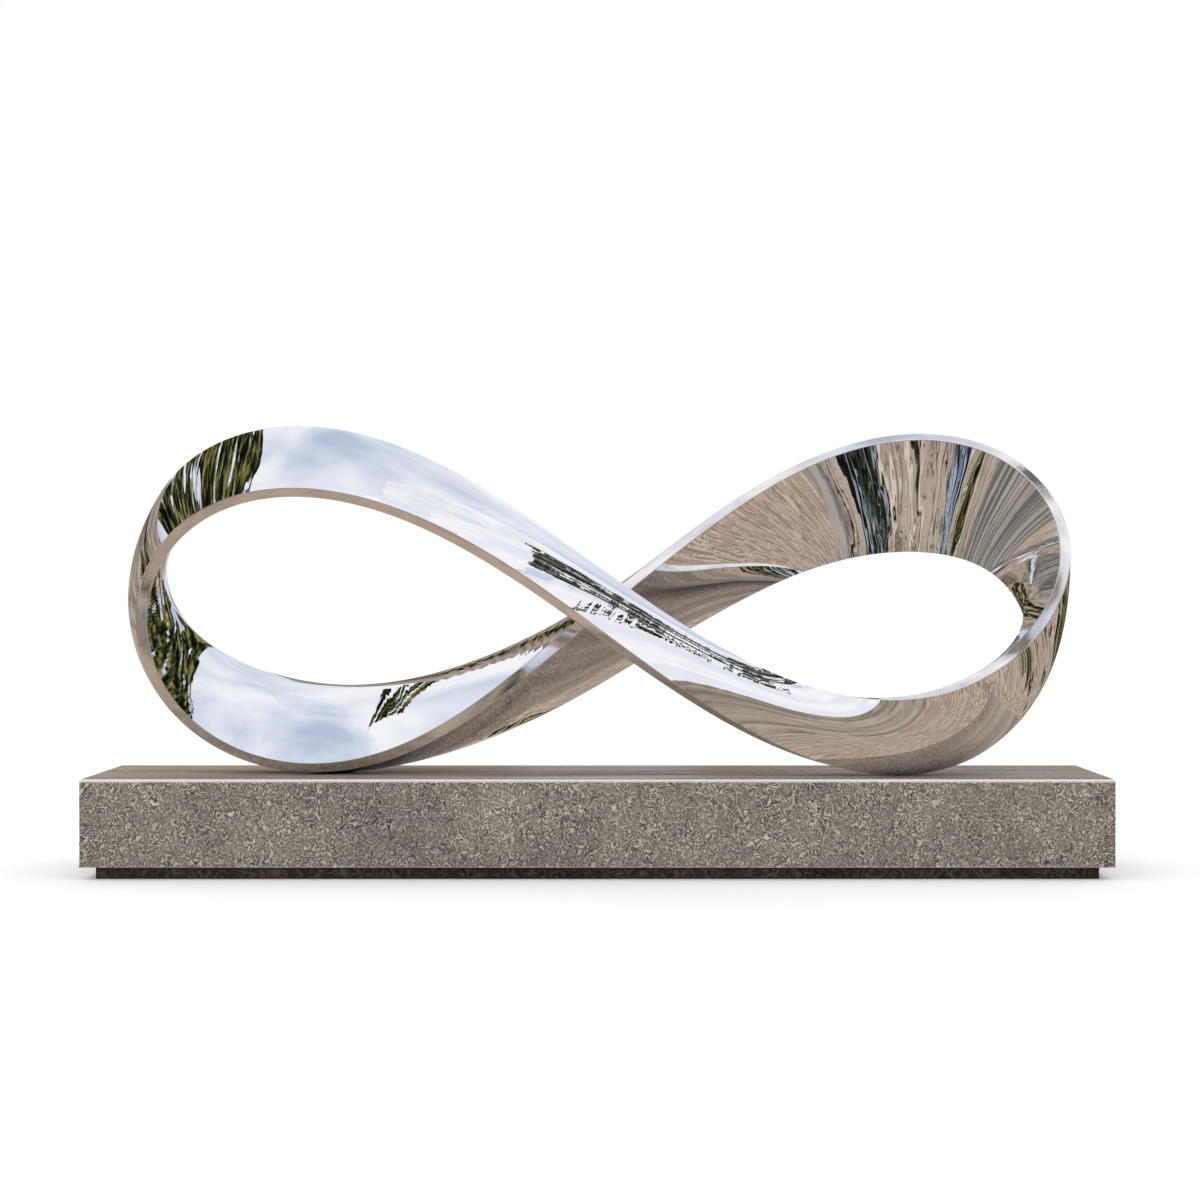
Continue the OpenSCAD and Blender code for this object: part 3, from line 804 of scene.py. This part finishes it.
def surroundMaterial(s):
    # painted reflections: sky, trees, walls and ground by direction in degrees, glowing on a sphere shown to
    # the polished steel only
    material = bpy.data.materials.new("garden_surround")
    material.use_nodes = True
    material.node_tree.nodes.clear()
    t = Tree(material.node_tree)
    place = t.vector("NORMALIZE", t.add("ShaderNodeTexCoord").outputs["Object"])
    parts = t.add("ShaderNodeSeparateXYZ", {0: place})
    x, y, z = parts.outputs
    turn = t.math("DEGREES", t.math("ARCTAN2", x, t.math("MULTIPLY", y, -1.0)))  # 0 towards the camera
    rise = t.math("DEGREES", t.math("ARCSINE", z))
    cloud, leaf, ripple = (t.noise(place, *s[key]) for key in ("clouds", "litter", "ripples"))

    def softly(value, limits, soft):
        return t.math("MULTIPLY", t.window(value, limits[0] - soft, limits[0] + soft),
                      t.window(value, limits[1] + soft, limits[1] - soft))

    def toned(factor, tones):
        return t.ramp(factor, [(at, colour(*rgb)) for at, rgb in tones])

    horizon = t.math("MULTIPLY_ADD", t.math("SUBTRACT", cloud, 0.5), s["horizonWaver"], rise)
    soil = t.math("MULTIPLY_ADD", ripple, s["rippleShare"], t.math("MULTIPLY", leaf, 1 - s["rippleShare"]))
    tone = t.mix(t.window(horizon, s["horizonSoft"], -s["horizonSoft"]), toned(cloud, s["sky"]),
                 toned(soil, s["ground"]))
    for patch in s["patches"]:
        # a patch follows a line of rise over turn, and is drawn in strokes along it
        start, level, slope, bend = patch["line"]
        aside = t.math("SUBTRACT", turn, start)
        line = t.math("MULTIPLY_ADD", t.math("MULTIPLY", aside, aside), bend,
                      t.math("MULTIPLY_ADD", aside, slope, level))
        off = t.math("SUBTRACT", rise, line)
        fast, slow = patch["strokes"]
        spot = t.add("ShaderNodeCombineXYZ", {0: t.math("MULTIPLY", turn, fast),
                                              1: t.math("MULTIPLY", off, slow), 2: patch["seed"]})
        thick = t.noise(spot, *s["thick"])
        finer = t.vector("ADD", t.vector("MULTIPLY", spot, s["thinStretch"]), s["thinShift"])
        thin = t.noise(finer, *s["thin"])
        edge = t.math("MULTIPLY", softly(turn, patch["turn"], patch["soft"]),
                      softly(off, patch["off"], patch["soft"]))
        cover = t.math("MULTIPLY_ADD", t.math("SUBTRACT", 1.0, edge), s["edgePush"], thick)
        inside = t.window(cover, patch["fill"] + s["edgeSoft"], patch["fill"] - s["edgeSoft"])
        tone = t.mix(inside, tone, toned(thin, patch["tones"]))
    glow = t.add("ShaderNodeEmission", {"Color": tone, "Strength": 1.0})
    t.add("ShaderNodeOutputMaterial", {0: glow})
    return material


darkLeaves = [(0.42, (14, 15, 12)), (0.48, (34, 37, 25)), (0.54, (76, 78, 44)), (0.61, (138, 132, 74))]
greyLeaves = [(0.4, (24, 27, 23)), (0.5, (66, 70, 60)), (0.58, (112, 116, 106))]
beigeWall = [(0.36, (34, 31, 28)), (0.41, (118, 105, 93)), (0.46, (176, 161, 146)), (0.54, (190, 176, 160)),
             (0.57, (122, 112, 102)), (0.6, (216, 203, 188))]
greyWall = [(0.4, (104, 98, 93)), (0.5, (140, 134, 128)), (0.6, (172, 163, 154))]
brownWall = [(0.38, (128, 117, 106)), (0.5, (158, 146, 134)), (0.62, (182, 169, 155))]
warmGround = [(0.38, (142, 125, 110)), (0.5, (174, 155, 138)), (0.6, (204, 186, 169))]
shadedLeaves = [(0.42, (14, 16, 15)), (0.5, (36, 40, 32)), (0.56, (64, 70, 54)), (0.61, (150, 160, 170))]
darkGaps = [(0.42, (24, 25, 26)), (0.52, (70, 74, 78)), (0.57, (186, 200, 222))]
whiteSky = [(0.4, (234, 238, 246)), (0.6, (251, 252, 254))]
surroundSettings = {
    "sky": [(0.38, (192, 203, 225)), (0.5, (222, 229, 241)), (0.62, (247, 249, 252))],
    "ground": [(0.36, (144, 128, 113)), (0.5, (178, 161, 145)), (0.64, (210, 194, 178))],
    "clouds": (2.2, 4.0, 0.5, 0.4), "litter": (11.0, 3.0, 0.6, 0.8), "ripples": (30.0, 2.0, 0.5, 2.5),
    "rippleShare": 0.35, "horizonWaver": 8.0, "horizonSoft": 1.5,
    "thick": (1.0, 3.0, 0.55, 0.35), "thin": (1.0, 3.0, 0.6, 0.35), "thinStretch": (1.9, 1.9, 1.0),
    "thinShift": (7.0, 3.0, 5.0), "edgePush": 0.9, "edgeSoft": 0.015,
    "rings": 24, "segments": 48,
    # line: turn, rise there, slope and bend; turn and off limit it
    # strokes: changes per degree along and across
    "patches": [
        {"line": (70, 50, 0, 0), "turn": (14, 108), "off": (-40, 34), "soft": 6.0,
         "strokes": (0.05, 0.08), "fill": 0.62, "seed": 15.0, "tones": whiteSky},
        {"line": (12, 0, 0, 0), "turn": (6, 62), "off": (-45, 23), "soft": 1.5,
         "strokes": (0.08, 0.1), "fill": 0.75, "seed": 1.0, "tones": brownWall},
        {"line": (100, -30, 0, 0), "turn": (-70, 178), "off": (-50, 24), "soft": 3.0,
         "strokes": (0.22, 1.1), "fill": 0.75, "seed": 16.0, "tones": warmGround},
        {"line": (118, -20, 0.15, 0), "turn": (100, 146), "off": (-9, 15), "soft": 4.0,
         "strokes": (0.22, 0.2), "fill": 0.46, "seed": 17.0, "tones": darkLeaves},
        {"line": (-120, 44, 0.15, -0.011), "turn": (-142, -95), "off": (-20, 22), "soft": 1.5,
         "strokes": (0.035, 0.6), "fill": 0.6, "seed": 2.0, "tones": darkLeaves},
        {"line": (-154, 62, 1.6, -0.07), "turn": (-168, -154), "off": (-8, 7), "soft": 1.5,
         "strokes": (0.05, 0.5), "fill": 0.54, "seed": 3.0, "tones": darkLeaves},
        {"line": (150, 14, -0.65, 0), "turn": (120, 179), "off": (-24, 19), "soft": 2.0,
         "strokes": (0.05, 0.3), "fill": 0.58, "seed": 4.0, "tones": darkLeaves},
        {"line": (90, 57, 0, -0.0065), "turn": (44, 84), "off": (-2.4, 1.8), "soft": 1.2,
         "strokes": (0.09, 0.8), "fill": 0.49, "seed": 11.0, "tones": greyLeaves},
        {"line": (90, 57, 0, -0.0065), "turn": (60, 92), "off": (-6.5, 6), "soft": 2.0,
         "strokes": (0.15, 0.45), "fill": 0.54, "seed": 21.0, "tones": greyLeaves},
        {"line": (-140, 9, -0.2, 0), "turn": (-178, -86), "off": (-14, 13), "soft": 1.5,
         "strokes": (0.1, 0.3), "fill": 0.75, "seed": 14.0, "tones": brownWall},
        {"line": (-140, 9, -0.3, 0), "turn": (-178, -98), "off": (-5, 4), "soft": 1.5,
         "strokes": (0.1, 0.6), "fill": 0.56, "seed": 6.0, "tones": darkLeaves},
        {"line": (0, 0, 0, 0), "turn": (-70, -16), "off": (-24, 46), "soft": 1.0,
         "strokes": (0.35, 0.02), "fill": 0.75, "seed": 12.0, "tones": greyWall},
        {"line": (0, 0, 0, 0), "turn": (-19, 9), "off": (-24, 22), "soft": 0.5,
         "strokes": (1.5, 0.015), "fill": 0.75, "seed": 7.0, "tones": beigeWall},
        {"line": (0, 0, 0, 0), "turn": (8, 12.5), "off": (-24, 22), "soft": 0.3,
         "strokes": (0.5, 0.02), "fill": 0.75, "seed": 13.0, "tones": greyWall},
        {"line": (0, 0, 0, 0), "turn": (0.3, 5.2), "off": (-24, 22), "soft": 0.2,
         "strokes": (1.7, 0.05), "fill": 0.66, "seed": 8.0, "tones": shadedLeaves},
        {"line": (0, 0, 0, 0), "turn": (-14.5, -11.6), "off": (-24, 22), "soft": 0.3,
         "strokes": (1.6, 0.08), "fill": 0.52, "seed": 18.0, "tones": darkLeaves},
        {"line": (0, 0, 0, 0), "turn": (-10.8, -7), "off": (-24, 22), "soft": 0.2,
         "strokes": (1.6, 0.02), "fill": 0.6, "seed": 9.0, "tones": darkGaps},
    ],
}


def makeSurround(s, radius):
    mesh = bpy.data.meshes.new("gardenSurround")
    shell = bmesh.new()
    bmesh.ops.create_uvsphere(shell, u_segments=s["segments"], v_segments=s["rings"], radius=radius)
    bmesh.ops.reverse_faces(shell, faces=shell.faces)
    shell.to_mesh(mesh)
    shell.free()
    mesh.materials.append(surroundMaterial(s))
    surround = bpy.data.objects.new("gardenSurround", mesh)
    scene.collection.objects.link(surround)
    for kind in ("camera", "diffuse", "shadow", "transmission", "volume_scatter"):
        setattr(surround, "visible_" + kind, False)


makeSurround(surroundSettings, studio["surroundRadius"])
print("studio ready")
